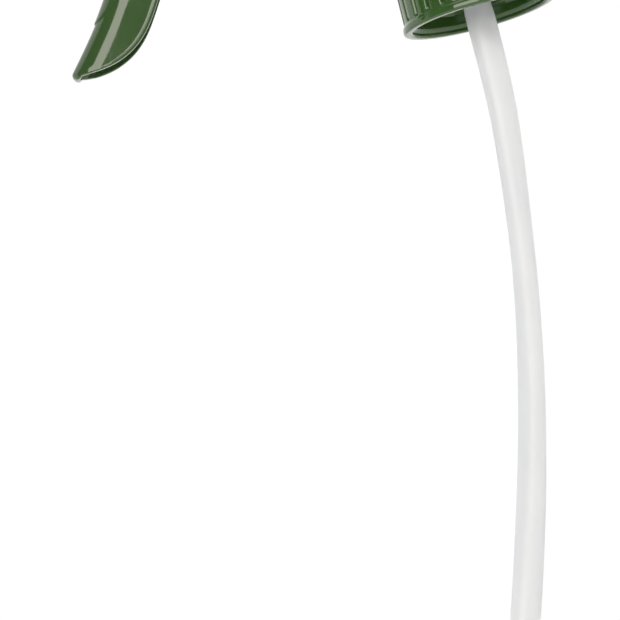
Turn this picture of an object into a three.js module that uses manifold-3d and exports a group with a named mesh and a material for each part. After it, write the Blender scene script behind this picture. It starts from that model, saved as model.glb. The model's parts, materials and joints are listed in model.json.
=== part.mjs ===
// Trigger sprayer head with its dip tube, for a 28 mm bottle neck.
// Millimetres. +Z runs up the neck axis and the nozzle points along -X.
// The origin is the centre of the plane where the bottle's lip meets the gasket.
import * as THREE from 'three';
import { mergeVertices } from 'three/addons/utils/BufferGeometryUtils.js';
import Module from 'manifold-3d';

const wasm = await Module();
wasm.setup();

// ---------- driving dimensions ----------

const GAP = 0.3; // clearance between pieces that rest on or sit in each other

const CLOSURE = {
  mouthZ: -14,
  topZ: 5,
  rimRadius: 17.25, // the flare round the mouth
  bandRadius: 17.15, // the smooth collar band above it
  rootRadius: 16.1, // in the grooves between the ribs, at the band
  crestRadius: 16.85, // on the ribs, at the band
  topShrink: 0.25, // draft over the ribbed length
  bandTopZ: -12,
  wall: 1.6,
  roof: 1.5,
  ribs: 26,
  ribHalfWidth: 1.15,
  threadDepth: 1.1,
  threadPitch: 3.2,
  neckHole: 7.6,
};

const SEAT = {
  gasketTop: 1.5,
  gasketInner: 6.6,
  gasketOuter: 13.2,
  flangeTop: 3.2,
  flangeRadius: 12.9,
  hubRadius: 6.6,
  hubTop: 15,
  socketRadius: 5.2,
  socketBottom: -9,
  ringZ: 11.2, // the o-ring that seals the retainer in the stem
  ringThickness: 1.1,
};

const TUBE = {
  outer: 3.0,
  bore: 2.1,
  topZ: 1.5,
  sides: 12,
  steps: 30,
};

const BALL = {
  radius: 2.4,
  lift: 1.4,
  seatBottomZ: 3.4, // the cone that the ball rests on
  seatTopZ: 5.4,
  waterway: 1.5,
  pocketRadius: 3.0,
  cageHeight: 2.2,
};

const PUMP = {
  axisZ: 21,
  bore: 7.5,
  outer: 9.4,
  mouthX: -44,
  boreEndX: -15,
  ductRadius: 1.8,
};

const STEM = {
  radius: 9.2,
  bottomZ: 5.6,
  topZ: 40,
  bore: 6.9,
  boreTop: 16,
};

const BARREL = {
  axisZ: 54,
  outer: 5.6,
  bore: 3.6,
  frontX: -70,
  backX: 14,
  valveSeatX: -56,
};

const PIVOT = { x: -57, z: 45, pinRadius: 1.5, pinLength: 19.2, lugRadius: 3.6, lugWidth: 9 };

const DRIVE = { x: -63, z: PUMP.axisZ, pinRadius: 1.2, pinLength: 11.8 };

const TRIGGER = {
  heel: new THREE.Vector2(-90, -4.7), // where the front face ends, just above the rounded tip
  frontRadius: 150,
  leanAtTip: 39.5, // degrees from vertical
  frontLength: 56,
  wall: 1.5,
  tipWidth: 9.2,
  topWidth: 14.2,
};

const SHROUD = { width: 26, noseWidth: 20, wall: 1.8 };

const PISTON = {
  frontX: PUMP.mouthX + 3,
  length: 14,
  radius: 6.9,
  grooveDepth: 1,
  grooveWidth: 2.2,
  wiperGrooveX: PUMP.mouthX + 4.4,
  sealGrooveX: PUMP.mouthX + 12.6,
  ringRadius: 6.7,
  ringThickness: 1.5,
  rodRadius: 3.4,
  eyeRadius: 3.7,
  eyeHalfWidth: 2.8,
  slotDown: 0.6, // how far the drive pin's slot reaches below and above its rest place
  slotUp: 0.4,
};

const SPRING_SEAT = { inner: 2.2, outer: 7.2, backX: -15.3, frontX: -16.3 };

const RETURN_SPRING = { radius: 4.1, wire: 0.9, turns: 6.5, backX: -16.4, frontX: -33.8 };

const DISCHARGE_SPRING = { radius: 1.9, wire: 0.5, turns: 5.5, backX: -57.7, frontX: -63.9 };

const NOZZLE = {
  capFrontX: -97,
  capBackX: -83,
  capRadius: 9,
  grips: 8,
  orifice: 0.5,
  hollowRadius: 5.4,
  baseFlangeX: -80,
  baseFlangeRadius: 6.4,
  passage: 1.7,
  sealX: -87,
};

// ---------- colours ----------

const GREEN = 0x2f6b2b;
const DARK_GREEN = 0x285c27;
const NATURAL = 0xe6e8e6;
const TRANSLUCENT = 0xdfe2e4;
const BLACK_RUBBER = 0x1c1c1c;
const WHITE_FOAM = 0xd9d9d2;
const STEEL = 0xb9bcc0;

const group = new THREE.Group();

// ---------- solids ----------

function solidOf(geometry) {
  const bare = geometry.index ? geometry.clone() : geometry;
  bare.deleteAttribute('normal');
  bare.deleteAttribute('uv');
  const merged = mergeVertices(bare, 1e-4);
  return new wasm.Manifold(new wasm.Mesh({
    numProp: 3,
    vertProperties: new Float32Array(merged.attributes.position.array),
    triVerts: new Uint32Array(merged.index.array),
  }));
}

function geometryOf(solid) {
  const mesh = solid.getMesh();
  const geometry = new THREE.BufferGeometry();
  geometry.setAttribute('position', new THREE.BufferAttribute(new Float32Array(mesh.vertProperties), 3));
  geometry.setIndex(new THREE.BufferAttribute(new Uint32Array(mesh.triVerts), 1));
  geometry.computeVertexNormals();
  return geometry;
}

function addPart(name, solid, color, roughness = 0.35, metalness = 0) {
  const material = new THREE.MeshStandardMaterial({ color, roughness, metalness });
  const mesh = new THREE.Mesh(geometryOf(solid), material);
  mesh.name = name;
  group.add(mesh);
}

function joined(solids) {
  return solids.reduce((whole, solid) => whole.add(solid));
}

function box(x0, x1, y0, y1, z0, z1) {
  const geometry = new THREE.BoxGeometry(x1 - x0, y1 - y0, z1 - z0);
  geometry.translate((x0 + x1) / 2, (y0 + y1) / 2, (z0 + z1) / 2);
  return solidOf(geometry);
}

// A profile of [radius, height] points turned about +Z through the origin.
function lathe(points, segments = 28) {
  const geometry = new THREE.LatheGeometry(points.map(([r, z]) => new THREE.Vector2(r, z)), segments);
  geometry.rotateX(Math.PI / 2);
  return solidOf(geometry);
}

// A ring or sleeve from its inner and outer radius and its two ends.
function sleeve(inner, outer, z0, z1, segments = 28) {
  return lathe([[inner, z0], [outer, z0], [outer, z1], [inner, z1], [inner, z0]], segments);
}

function rod(radius, z0, z1, segments = 28) {
  return lathe([[0, z0], [radius, z0], [radius, z1], [0, z1]], segments);
}

function ring(middleRadius, thickness, z, segments = 24, sides = 6) {
  const points = [];
  for (let i = 0; i <= sides; i += 1) {
    const turn = (i / sides) * Math.PI * 2;
    const step = i === sides ? 0 : turn;
    points.push([middleRadius + Math.cos(step) * thickness / 2, z + Math.sin(step) * thickness / 2]);
  }
  return lathe(points, segments);
}

// Lays a solid made along +Z so that its height runs along -X, at the given height above the neck.
function alongNozzle(solid, axisZ) {
  return solid.rotate([0, -90, 0]).translate([0, 0, axisZ]);
}

// Lays a solid made along +Z across the sprayer, through the point (x, z).
function across(solid, x, z) {
  return solid.rotate([90, 0, 0]).translate([x, 0, z]);
}

// A prism of an outline, `width` thick and centred on its own plane, its outline drawn in by `inset`.
function prism(shape, width, inset = 0, curveSegments = 8) {
  const geometry = new THREE.ExtrudeGeometry(shape, {
    depth: width,
    bevelEnabled: inset > 0,
    bevelThickness: 0,
    bevelSize: 0,
    bevelOffset: -inset,
    bevelSegments: 0,
    curveSegments,
    steps: 1,
  });
  geometry.translate(0, 0, -width / 2);
  return geometry;
}

// A side-view outline in [x, z], with a fixed width across Y.
function slab(shape, width, inset = 0) {
  return solidOf(prism(shape, width, inset).rotateX(Math.PI / 2));
}

// A front-view outline in [y, z], `length` long and centred on the neck axis.
function seenFromFront(shape, length, inset = 0) {
  return solidOf(prism(shape, length, inset).rotateX(Math.PI / 2).rotateZ(Math.PI / 2));
}

function outline(points) {
  return new THREE.Shape(points.map(([x, z]) => new THREE.Vector2(x, z)));
}

function circle(radius, sides) {
  const points = [];
  for (let i = 0; i < sides; i += 1) {
    const turn = (i / sides) * Math.PI * 2;
    points.push([Math.cos(turn) * radius, Math.sin(turn) * radius]);
  }
  return outline(points);
}

function sweep(shape, curve, steps) {
  return solidOf(new THREE.ExtrudeGeometry(shape, { steps, extrudePath: curve, bevelEnabled: false }));
}

// ---------- closure ----------

function makeClosure() {
  const c = CLOSURE;
  const roofZ = c.topZ - c.roof;
  const neckRadius = c.rootRadius - c.wall - c.topShrink / 2;
  const shell = lathe([
    [c.neckHole, roofZ],
    [neckRadius, roofZ],
    [neckRadius, -12.4],
    [neckRadius + 0.7, -12.9],
    [neckRadius + 0.9, c.mouthZ],
    [c.rimRadius - 0.1, c.mouthZ],
    [c.rimRadius, c.mouthZ + 0.3],
    [c.bandRadius, c.bandTopZ - 0.5],
    [c.rootRadius, c.bandTopZ + 0.6],
    [c.rootRadius - c.topShrink, c.topZ - 1.2],
    [c.rootRadius - c.topShrink - 1.2, c.topZ],
    [c.neckHole, c.topZ],
    [c.neckHole, roofZ],
  ], 2 * c.ribs);
  return joined([shell, ...closureRibs(), ...threadRings(neckRadius)]);
}

function closureRibs() {
  const c = CLOSURE;
  const height = c.topZ - 1.4 - c.bandTopZ;
  const section = outline([
    [c.rootRadius - 1.2, -c.ribHalfWidth - 0.5],
    [c.crestRadius - 0.25, -c.ribHalfWidth],
    [c.crestRadius, -c.ribHalfWidth + 0.35],
    [c.crestRadius, c.ribHalfWidth - 0.35],
    [c.crestRadius - 0.25, c.ribHalfWidth],
    [c.rootRadius - 1.2, c.ribHalfWidth + 0.5],
  ]);
  const geometry = new THREE.ExtrudeGeometry(section, { depth: height, bevelEnabled: false });
  geometry.applyMatrix4(new THREE.Matrix4().makeShear(0, 0, 0, 0, -c.topShrink / height, 0));
  geometry.translate(0, 0, c.bandTopZ);
  const rib = solidOf(geometry);
  const ribs = [];
  for (let i = 0; i < c.ribs; i += 1) {
    ribs.push(rib.rotate([0, 0, (i / c.ribs) * 360]));
  }
  return ribs;
}

// Rings at the thread's pitch, standing in for the helix.
function threadRings(neckRadius) {
  const c = CLOSURE;
  const crest = neckRadius - c.threadDepth;
  return [1, 2, 3].map((turn) => {
    const z = -turn * c.threadPitch;
    return lathe([
      [crest, z - 0.25],
      [neckRadius + 0.4, z - 0.9],
      [neckRadius + 0.4, z + 0.9],
      [crest, z + 0.25],
      [crest, z - 0.25],
    ], c.ribs);
  });
}

// ---------- neck insert, seals, tube ----------

function makeTubeRetainer() {
  const s = SEAT;
  const tubeFit = TUBE.outer + 0.02;
  const body = lathe([
    [0, s.socketBottom],
    [s.socketRadius, s.socketBottom],
    [s.socketRadius, s.gasketTop + GAP],
    [s.flangeRadius, s.gasketTop + GAP],
    [s.flangeRadius, s.flangeTop],
    [s.hubRadius, s.flangeTop],
    [s.hubRadius, s.ringZ - 1],
    [s.hubRadius - 1, s.ringZ - 1],
    [s.hubRadius - 1, s.ringZ + 1],
    [s.hubRadius, s.ringZ + 1],
    [s.hubRadius, s.hubTop - 0.6],
    [s.hubRadius - 0.6, s.hubTop],
    [0, s.hubTop],
  ]);
  const tubeSocket = rod(tubeFit, s.socketBottom - 1, TUBE.topZ + 0.2, 36);
  const waterway = rod(BALL.waterway, 0, s.hubTop + 1, 24);
  const ballPocket = lathe([
    [0, BALL.seatBottomZ],
    [BALL.waterway, BALL.seatBottomZ],
    [BALL.pocketRadius, BALL.seatTopZ],
    [BALL.pocketRadius, s.hubTop + 1],
    [0, s.hubTop + 1],
  ], 24);
  return body.subtract(tubeSocket).subtract(waterway).subtract(ballPocket);
}

// Height of the intake ball's centre when it rests just clear of its conical seat.
function ballCentre() {
  const slope = Math.atan2(BALL.seatTopZ - BALL.seatBottomZ, BALL.pocketRadius - BALL.waterway);
  const clearance = 0.02;
  return BALL.seatBottomZ - BALL.waterway * Math.tan(slope) + (BALL.radius + clearance) / Math.cos(slope);
}

function makeIntakeBall() {
  return solidOf(new THREE.SphereGeometry(BALL.radius, 20, 12)).translate([0, 0, ballCentre()]);
}

// A slotted ring above the ball that stops its lift and lets the liquid past.
function makeBallCage() {
  const stop = ballCentre() + BALL.radius + BALL.lift + 0.1;
  const ringSolid = sleeve(1.2, BALL.pocketRadius - 0.05, stop, stop + BALL.cageHeight, 24);
  const slots = [0, 60, 120].map((turn) => box(-4, 4, -0.5, 0.5, stop - 1, stop + 1).rotate([0, 0, turn]));
  return slots.reduce((solid, slot) => solid.subtract(slot), ringSolid);
}

// The centre line of the dip tube: straight out of its socket, then a slow bow towards the nozzle side.
function tubeRoute() {
  const points = [
    [0, TUBE.topZ], [0, -10], [0, -20], [-0.1, -27], [-0.5, -36], [-1.5, -46],
    [-2.9, -57], [-5.0, -71], [-7.9, -86], [-11.4, -101], [-15.2, -115], [-19.3, -128.5],
    [-23.7, -142], [-28.2, -155], [-32.6, -168], [-36.8, -181], [-40.6, -194], [-44.0, -207], [-47.0, -220],
  ];
  return new THREE.CatmullRomCurve3(points.map(([x, z]) => new THREE.Vector3(x, 0, z)), false, 'centripetal');
}

function makeDipTube() {
  const wall = circle(TUBE.outer, TUBE.sides);
  wall.holes.push(circle(TUBE.bore, TUBE.sides));
  return sweep(wall, tubeRoute(), TUBE.steps);
}

// ---------- pump body ----------

function makePumpBody() {
  const p = PUMP;
  const stem = rod(STEM.radius, STEM.bottomZ, STEM.topZ);
  const cylinder = alongNozzle(rod(p.outer, 8, -p.mouthX), p.axisZ);
  const barrel = alongNozzle(rod(BARREL.outer, -BARREL.backX, -BARREL.frontX), BARREL.axisZ);
  const web = slab(outline([[-40, 26], [-40, 36], [-50, 50], [12, 50], [8, 36], [8, 26]]), 2.4);
  const riser = box(-6, 9, -4.5, 4.5, 36, BARREL.axisZ);
  const lug = slab(hingeLug(), PIVOT.lugWidth);
  const solid = joined([stem, cylinder, barrel, web, riser, lug]);
  return pumpBodyCuts().reduce((whole, cut) => whole.subtract(cut), solid);
}

function pumpBodyCuts() {
  const p = PUMP;
  const stemBore = rod(STEM.bore, STEM.bottomZ - 1, STEM.boreTop);
  const pumpBore = alongNozzle(rod(p.bore, -p.boreEndX, -p.mouthX + 1, 40), p.axisZ);
  const supply = rod(p.ductRadius, STEM.boreTop - 1, BARREL.axisZ, 20);
  const feed = alongNozzle(rod(p.ductRadius, -2, -p.boreEndX + 1, 20), p.axisZ);
  const barrelBore = alongNozzle(rod(BARREL.bore, -BARREL.valveSeatX, -BARREL.frontX + 1, 24), BARREL.axisZ);
  const duct = alongNozzle(rod(p.ductRadius, -3, -BARREL.valveSeatX + 1, 20), BARREL.axisZ);
  const rearBore = alongNozzle(rod(BARREL.bore, -BARREL.backX - 1, -3, 24), BARREL.axisZ);
  const hingeHole = across(rod(PIVOT.pinRadius + 0.05, -8, 8, 20), PIVOT.x, PIVOT.z);
  const ventHole = rod(0.8, p.axisZ - p.outer - 1, p.axisZ, 12).translate([p.mouthX + 7, 0, 0]);
  return [stemBore, pumpBore, supply, feed, barrelBore, duct, rearBore, hingeHole, ventHole];
}

// The plug that closes the barrel's open back end.
function makeBarrelPlug() {
  const back = -BARREL.backX;
  const stopper = BARREL.bore - 0.06;
  return lathe([
    [0, back - 1.8],
    [4.8, back - 1.8],
    [5.2, back - 1.4],
    [5.2, back - GAP],
    [stopper, back - GAP],
    [stopper, back + 8],
    [0, back + 8],
  ], 24);
}

// The lug that hangs under the barrel and carries the trigger's hinge pin.
function hingeLug() {
  const shape = new THREE.Shape();
  shape.moveTo(PIVOT.x - PIVOT.lugRadius, PIVOT.z);
  shape.lineTo(PIVOT.x - 5.5, BARREL.axisZ - 2);
  shape.lineTo(PIVOT.x + 8, BARREL.axisZ - 2);
  shape.lineTo(PIVOT.x + PIVOT.lugRadius, PIVOT.z);
  shape.absarc(PIVOT.x, PIVOT.z, PIVOT.lugRadius, 0, Math.PI, true);
  return shape;
}

// ---------- trigger ----------

// Point on the arc of the trigger's front face, `rise` millimetres of arc above its heel.
function frontPoint(rise, inset = 0) {
  const t = TRIGGER;
  const lean = THREE.MathUtils.degToRad(t.leanAtTip);
  const centre = new THREE.Vector2(
    t.heel.x - t.frontRadius * Math.cos(lean),
    t.heel.y + t.frontRadius * Math.sin(lean),
  );
  const angle = -lean + rise / t.frontRadius;
  const radius = t.frontRadius + inset;
  return [centre.x + radius * Math.cos(angle), centre.y + radius * Math.sin(angle)];
}

function frontLine(inset, from) {
  const steps = 10;
  const points = [];
  for (let i = 0; i <= steps; i += 1) {
    points.push(frontPoint(from + (TRIGGER.frontLength - from) * (i / steps), inset));
  }
  return points;
}

// The lever seen from the side: front arc, hinge ears, the rear edge and the rounded tip.
function triggerSide() {
  const shape = new THREE.Shape();
  const front = frontLine(0, 0);
  shape.moveTo(...front[0]);
  front.slice(1).forEach((point) => shape.lineTo(...point));
  shape.lineTo(PIVOT.x - 3.6, PIVOT.z + 3.4);
  shape.lineTo(PIVOT.x + 3.4, PIVOT.z + 3.2);
  shape.quadraticCurveTo(PIVOT.x + 4.6, PIVOT.z, PIVOT.x + 3.4, PIVOT.z - 6);
  shape.bezierCurveTo(-55.5, 27, -60.5, 16, -67.1, 7.2);
  shape.bezierCurveTo(-72.5, 0, -75.5, -6.7, -86, -6.9);
  shape.lineTo(-89.4, -6.9);
  shape.quadraticCurveTo(-90.9, -6.3, -90.3, -5.2);
  shape.closePath();
  return shape;
}

// The lever seen from the front, drawn in by `inset`: narrow at the tip and wide at the ears.
function triggerFront(inset) {
  const tip = TRIGGER.tipWidth / 2 - inset;
  const low = TRIGGER.tipWidth / 2 + 0.25 - inset;
  const top = TRIGGER.topWidth / 2 - inset;
  return outline([
    [-tip, -12], [tip, -12], [tip, -5], [low, 8], [(low + top) / 2, 24], [top, 36], [top, 52],
    [-top, 52], [-top, 36], [-(low + top) / 2, 24], [-low, 8], [-tip, -5],
  ]);
}

// The inside of the channel seen from the side, open to the rear and straight up at the ears.
function triggerCavity() {
  const wall = TRIGGER.wall;
  const front = frontLine(wall, wall);
  const topZ = PIVOT.z + 12;
  const shape = new THREE.Shape();
  shape.moveTo(...front[0]);
  front.slice(1).forEach((point) => shape.lineTo(...point));
  shape.lineTo(front.at(-1)[0], topZ);
  shape.lineTo(-40, topZ);
  shape.lineTo(-40, -14);
  shape.lineTo(-80, -14);
  shape.closePath();
  return shape;
}

function makeTrigger() {
  const outer = slab(triggerSide(), 40).intersect(seenFromFront(triggerFront(0), 220));
  const cavity = slab(triggerCavity(), 40).intersect(seenFromFront(triggerFront(TRIGGER.wall), 220));
  const pinHole = across(rod(PIVOT.pinRadius + 0.1, -10, 10, 20), PIVOT.x, PIVOT.z);
  const driveHole = across(rod(DRIVE.pinRadius + 0.05, -10, 10, 16), DRIVE.x, DRIVE.z);
  return outer.subtract(cavity).subtract(pinHole).subtract(driveHole);
}

// ---------- shroud ----------

function shroudSide() {
  const shape = new THREE.Shape();
  shape.moveTo(-79, 45);
  shape.lineTo(-82, 50);
  shape.lineTo(-82, 58);
  shape.quadraticCurveTo(-81, 63, -74, 63.6);
  shape.quadraticCurveTo(-40, 67, -6, 67.5);
  shape.quadraticCurveTo(22, 67, 27, 58);
  shape.quadraticCurveTo(31, 50, 29, 45);
  shape.quadraticCurveTo(26, 41, 19, 39);
  shape.quadraticCurveTo(13, 34, 13, 24);
  shape.lineTo(13.4, 7);
  shape.lineTo(-13.4, 7);
  shape.lineTo(-18, 9.4);
  shape.lineTo(-47, 9.4);
  shape.lineTo(-47, 30);
  shape.quadraticCurveTo(-47.5, 38, -54, 40.5);
  shape.closePath();
  return shape;
}

// The shroud seen from the front: straight sides and a crowned top.
function shroudFront() {
  const half = SHROUD.width / 2;
  const shape = new THREE.Shape();
  shape.moveTo(-half, 0);
  shape.lineTo(half, 0);
  shape.lineTo(half, 52);
  shape.bezierCurveTo(half, 63, half - 4, 67.5, 0, 68);
  shape.bezierCurveTo(-half + 4, 67.5, -half, 63, -half, 52);
  shape.closePath();
  return shape;
}

// The shroud seen from above: a rounded back, and sides that draw in towards the nose.
function shroudPlan() {
  const half = SHROUD.width / 2;
  const nose = SHROUD.noseWidth / 2;
  const shape = new THREE.Shape();
  shape.moveTo(-86, -nose);
  shape.lineTo(-30, -half);
  shape.lineTo(12, -half);
  shape.bezierCurveTo(24, -half, 30.2, -half + 5, 30.2, 0);
  shape.bezierCurveTo(30.2, half - 5, 24, half, 12, half);
  shape.lineTo(-30, half);
  shape.lineTo(-86, nose);
  shape.closePath();
  return shape;
}

function shroudBlock(inset) {
  const side = slab(shroudSide(), 60, inset);
  const front = seenFromFront(shroudFront(), 260, inset);
  const plan = solidOf(prism(shroudPlan(), 200, inset));
  return side.intersect(front).intersect(plan);
}

function makeShroud() {
  const s = SHROUD;
  const halfGap = s.width / 2 - s.wall;
  const noseHalf = s.noseWidth / 2 - s.wall;
  const noseOpening = slab(outline([[-79.4, 44], [-80, 48], [-52, 44], [-48, 34], [-54, 30]]), 2 * noseHalf);
  const bayFront = box(-60, -44.5, -halfGap + 0.6, halfGap - 0.6, 8, 40);
  const bayBottom = box(-50, -9, -halfGap, halfGap, 5, 12);
  const neckBottom = rod(11, 4, 12, 36);
  const barrelHole = alongNozzle(rod(BARREL.outer + 2.4, 78, 90, 30), BARREL.axisZ);
  return [shroudBlock(s.wall), noseOpening, bayFront, bayBottom, neckBottom, barrelHole]
    .reduce((whole, cut) => whole.subtract(cut), shroudBlock(0));
}

// ---------- piston group ----------

function makePiston() {
  const front = -PISTON.frontX;
  const back = front - PISTON.length;
  const body = joined([
    alongNozzle(pistonHead(front, back), PUMP.axisZ),
    alongNozzle(rod(PISTON.rodRadius, front - 1, -DRIVE.x - 2, 24), PUMP.axisZ),
    pistonEye(),
  ]);
  const springPocket = alongNozzle(rod(5.0, back - 1, back + 7, 24), PUMP.axisZ);
  return body.subtract(springPocket).subtract(drivePinSlot());
}

function pistonHead(front, back) {
  const r = PISTON.radius;
  const groove = (x) => [
    [r, -x],
    [r - PISTON.grooveDepth, -x],
    [r - PISTON.grooveDepth, -x - PISTON.grooveWidth],
    [r, -x - PISTON.grooveWidth],
  ];
  return lathe([
    [0, front],
    [r - 0.3, front],
    [r, front - 0.4],
    ...groove(PISTON.wiperGrooveX),
    ...groove(PISTON.sealGrooveX),
    [r, back],
    [0, back],
  ].reverse());
}

function pistonEye() {
  const half = PISTON.eyeHalfWidth;
  const eye = across(rod(PISTON.eyeRadius, -half, half, 24), DRIVE.x, DRIVE.z);
  const root = box(DRIVE.x - PISTON.eyeRadius, DRIVE.x + 5, -half, half, DRIVE.z - 3.2, DRIVE.z + 3.2);
  return eye.add(root);
}

// The upright slot in the eye, which takes up the drive pin's small rise and fall.
function drivePinSlot() {
  const radius = DRIVE.pinRadius + GAP;
  const low = DRIVE.z - PISTON.slotDown;
  const high = DRIVE.z + PISTON.slotUp;
  const ends = [low, high].map((z) => across(rod(radius, -5, 5, 20), DRIVE.x, z));
  return joined([...ends, box(DRIVE.x - radius, DRIVE.x + radius, -5, 5, low, high)]);
}

// The seal ring that sits in the groove starting at `grooveX`.
function makePistonRing(grooveX) {
  const middle = -grooveX - PISTON.grooveWidth / 2;
  return alongNozzle(ring(PISTON.ringRadius, PISTON.ringThickness, middle), PUMP.axisZ);
}

function makeSpringSeat() {
  const seat = SPRING_SEAT;
  return alongNozzle(sleeve(seat.inner, seat.outer, -seat.backX, -seat.frontX), PUMP.axisZ);
}

// The centre line of a coil spring along +Z, with closed end turns.
class Helix extends THREE.Curve {
  constructor(spring) {
    super();
    this.spring = spring;
  }

  getPoint(t, target = new THREE.Vector3()) {
    const { radius, wire, turns, backX, frontX } = this.spring;
    const endTurns = 0.75;
    const endPitch = wire * 1.05;
    const turn = t * turns;
    const middle = (turn - endTurns) / (turns - 2 * endTurns);
    const rise = backX - frontX - wire - 2 * endPitch * endTurns;
    let z = -backX + wire / 2 + endPitch * Math.min(turn, endTurns);
    z += rise * THREE.MathUtils.clamp(middle, 0, 1);
    z += endPitch * Math.max(0, turn - (turns - endTurns));
    const angle = turn * Math.PI * 2;
    return target.set(Math.cos(angle) * radius, Math.sin(angle) * radius, z);
  }
}

function coilSpring(spring, axisZ, stepsPerTurn) {
  const steps = Math.round(spring.turns * stepsPerTurn);
  return alongNozzle(sweep(circle(spring.wire / 2, 5), new Helix(spring), steps), axisZ);
}

// ---------- nozzle group ----------

// The small poppet that closes the end of the duct, with the stem that guides its spring.
function makeDischargeValve() {
  const seat = -BARREL.valveSeatX + GAP;
  return lathe([
    [0, seat],
    [2.7, seat],
    [2.7, seat + 1.3],
    [1.0, seat + 1.3],
    [1.0, seat + 3.3],
    [0, seat + 3.3],
  ], 24);
}

// The tube that snaps into the barrel and carries the cap behind a bead.
function makeNozzleBase() {
  const flange = -NOZZLE.baseFlangeX;
  const start = -BARREL.frontX - 6;
  const shoulder = -BARREL.frontX + GAP;
  return lathe([
    [NOZZLE.passage, start],
    [BARREL.bore - 0.05, start],
    [BARREL.bore - 0.05, shoulder],
    [BARREL.outer, shoulder],
    [BARREL.outer, flange - 2],
    [NOZZLE.baseFlangeRadius, flange - 2],
    [NOZZLE.baseFlangeRadius, flange],
    [4.9, flange],
    [4.9, flange + 6],
    [4.2, flange + 6],
    [4.2, flange + 8],
    [5.2, flange + 8],
    [5.2, flange + 11.4],
    [2.6, flange + 11.4],
    [2.6, flange + 9],
    [NOZZLE.passage, flange + 9],
    [NOZZLE.passage, start],
  ], 24);
}

// The swirl insert: a short pin with three slots that set the liquid turning behind the orifice.
function makeSpinner() {
  const back = -NOZZLE.baseFlangeX + 9.3;
  const pin = rod(2.3, back, back + 3, 24);
  const slots = [0, 120, 240].map((turn) => (
    box(0.4, 3, -0.45, 0.45, back - 0.3, back + 2.5).rotate([0, 0, turn])
  ));
  return slots.reduce((solid, slot) => solid.subtract(slot), pin);
}

function makeNozzleCap() {
  const back = -NOZZLE.capBackX;
  const front = -NOZZLE.capFrontX;
  const radius = NOZZLE.capRadius;
  const shell = lathe([
    [5.05, back],
    [radius - 0.6, back],
    [radius, back + 0.6],
    [radius - 0.4, front - 1.2],
    [radius - 1.6, front],
    [3.4, front],
    [2.2, front - 0.9],
    [NOZZLE.orifice, front - 0.9],
    [NOZZLE.orifice, front - 4.2],
    [NOZZLE.hollowRadius, front - 4.2],
    [NOZZLE.hollowRadius, back + 3.0],
    [5.05, back + 2.6],
    [5.05, back],
  ], 32);
  const grip = rod(2.0, back + 1, front + 1, 12).translate([radius + 1.25, 0, 0]);
  let cap = shell;
  for (let i = 0; i < NOZZLE.grips; i += 1) {
    cap = cap.subtract(grip.rotate([0, 0, (i / NOZZLE.grips) * 360]));
  }
  return cap;
}

function makePin(pin) {
  const half = pin.pinLength / 2;
  return across(rod(pin.pinRadius, -half, half, 20), pin.x, pin.z);
}

// ---------- assembly ----------

const onBarrel = (solid) => alongNozzle(solid, BARREL.axisZ);
const gasket = sleeve(SEAT.gasketInner, SEAT.gasketOuter, 0, SEAT.gasketTop);
const retainerRing = ring(6.2, SEAT.ringThickness, SEAT.ringZ);
const nozzleSeal = onBarrel(ring(4.78, 1.0, -NOZZLE.sealX));

addPart('closure', makeClosure(), GREEN, 0.3);
addPart('bottle_gasket', gasket, WHITE_FOAM, 0.9);
addPart('tube_retainer', makeTubeRetainer(), NATURAL, 0.4);
addPart('retainer_o_ring', retainerRing, BLACK_RUBBER, 0.7);
addPart('ball_cage', makeBallCage(), NATURAL, 0.4);
addPart('intake_ball', makeIntakeBall(), STEEL, 0.15, 1);
addPart('dip_tube', makeDipTube(), TRANSLUCENT, 0.4);
addPart('pump_body', makePumpBody(), NATURAL, 0.4);
addPart('shroud', makeShroud(), GREEN, 0.3);
addPart('trigger', makeTrigger(), GREEN, 0.3);
addPart('trigger_pin', makePin(PIVOT), STEEL, 0.3, 1);
addPart('drive_pin', makePin(DRIVE), STEEL, 0.3, 1);
addPart('piston', makePiston(), NATURAL, 0.4);
addPart('wiper_seal', makePistonRing(PISTON.wiperGrooveX), BLACK_RUBBER, 0.7);
addPart('piston_seal', makePistonRing(PISTON.sealGrooveX), BLACK_RUBBER, 0.7);
addPart('spring_seat', makeSpringSeat(), NATURAL, 0.4);
addPart('return_spring', coilSpring(RETURN_SPRING, PUMP.axisZ, 10), STEEL, 0.3, 1);
addPart('barrel_plug', onBarrel(makeBarrelPlug()), NATURAL, 0.4);
addPart('discharge_valve', onBarrel(makeDischargeValve()), NATURAL, 0.4);
addPart('discharge_spring', coilSpring(DISCHARGE_SPRING, BARREL.axisZ, 9), STEEL, 0.3, 1);
addPart('nozzle_base', onBarrel(makeNozzleBase()), NATURAL, 0.4);
addPart('spinner', onBarrel(makeSpinner()), NATURAL, 0.4);
addPart('nozzle_seal', nozzleSeal, BLACK_RUBBER, 0.7);
addPart('nozzle_cap', onBarrel(makeNozzleCap()), DARK_GREEN, 0.3);

export default group;
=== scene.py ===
"""Trigger sprayer head with its dip tube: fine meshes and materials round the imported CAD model."""
import json
import math

import bmesh
import bpy
from mathutils import Matrix, Vector


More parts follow.
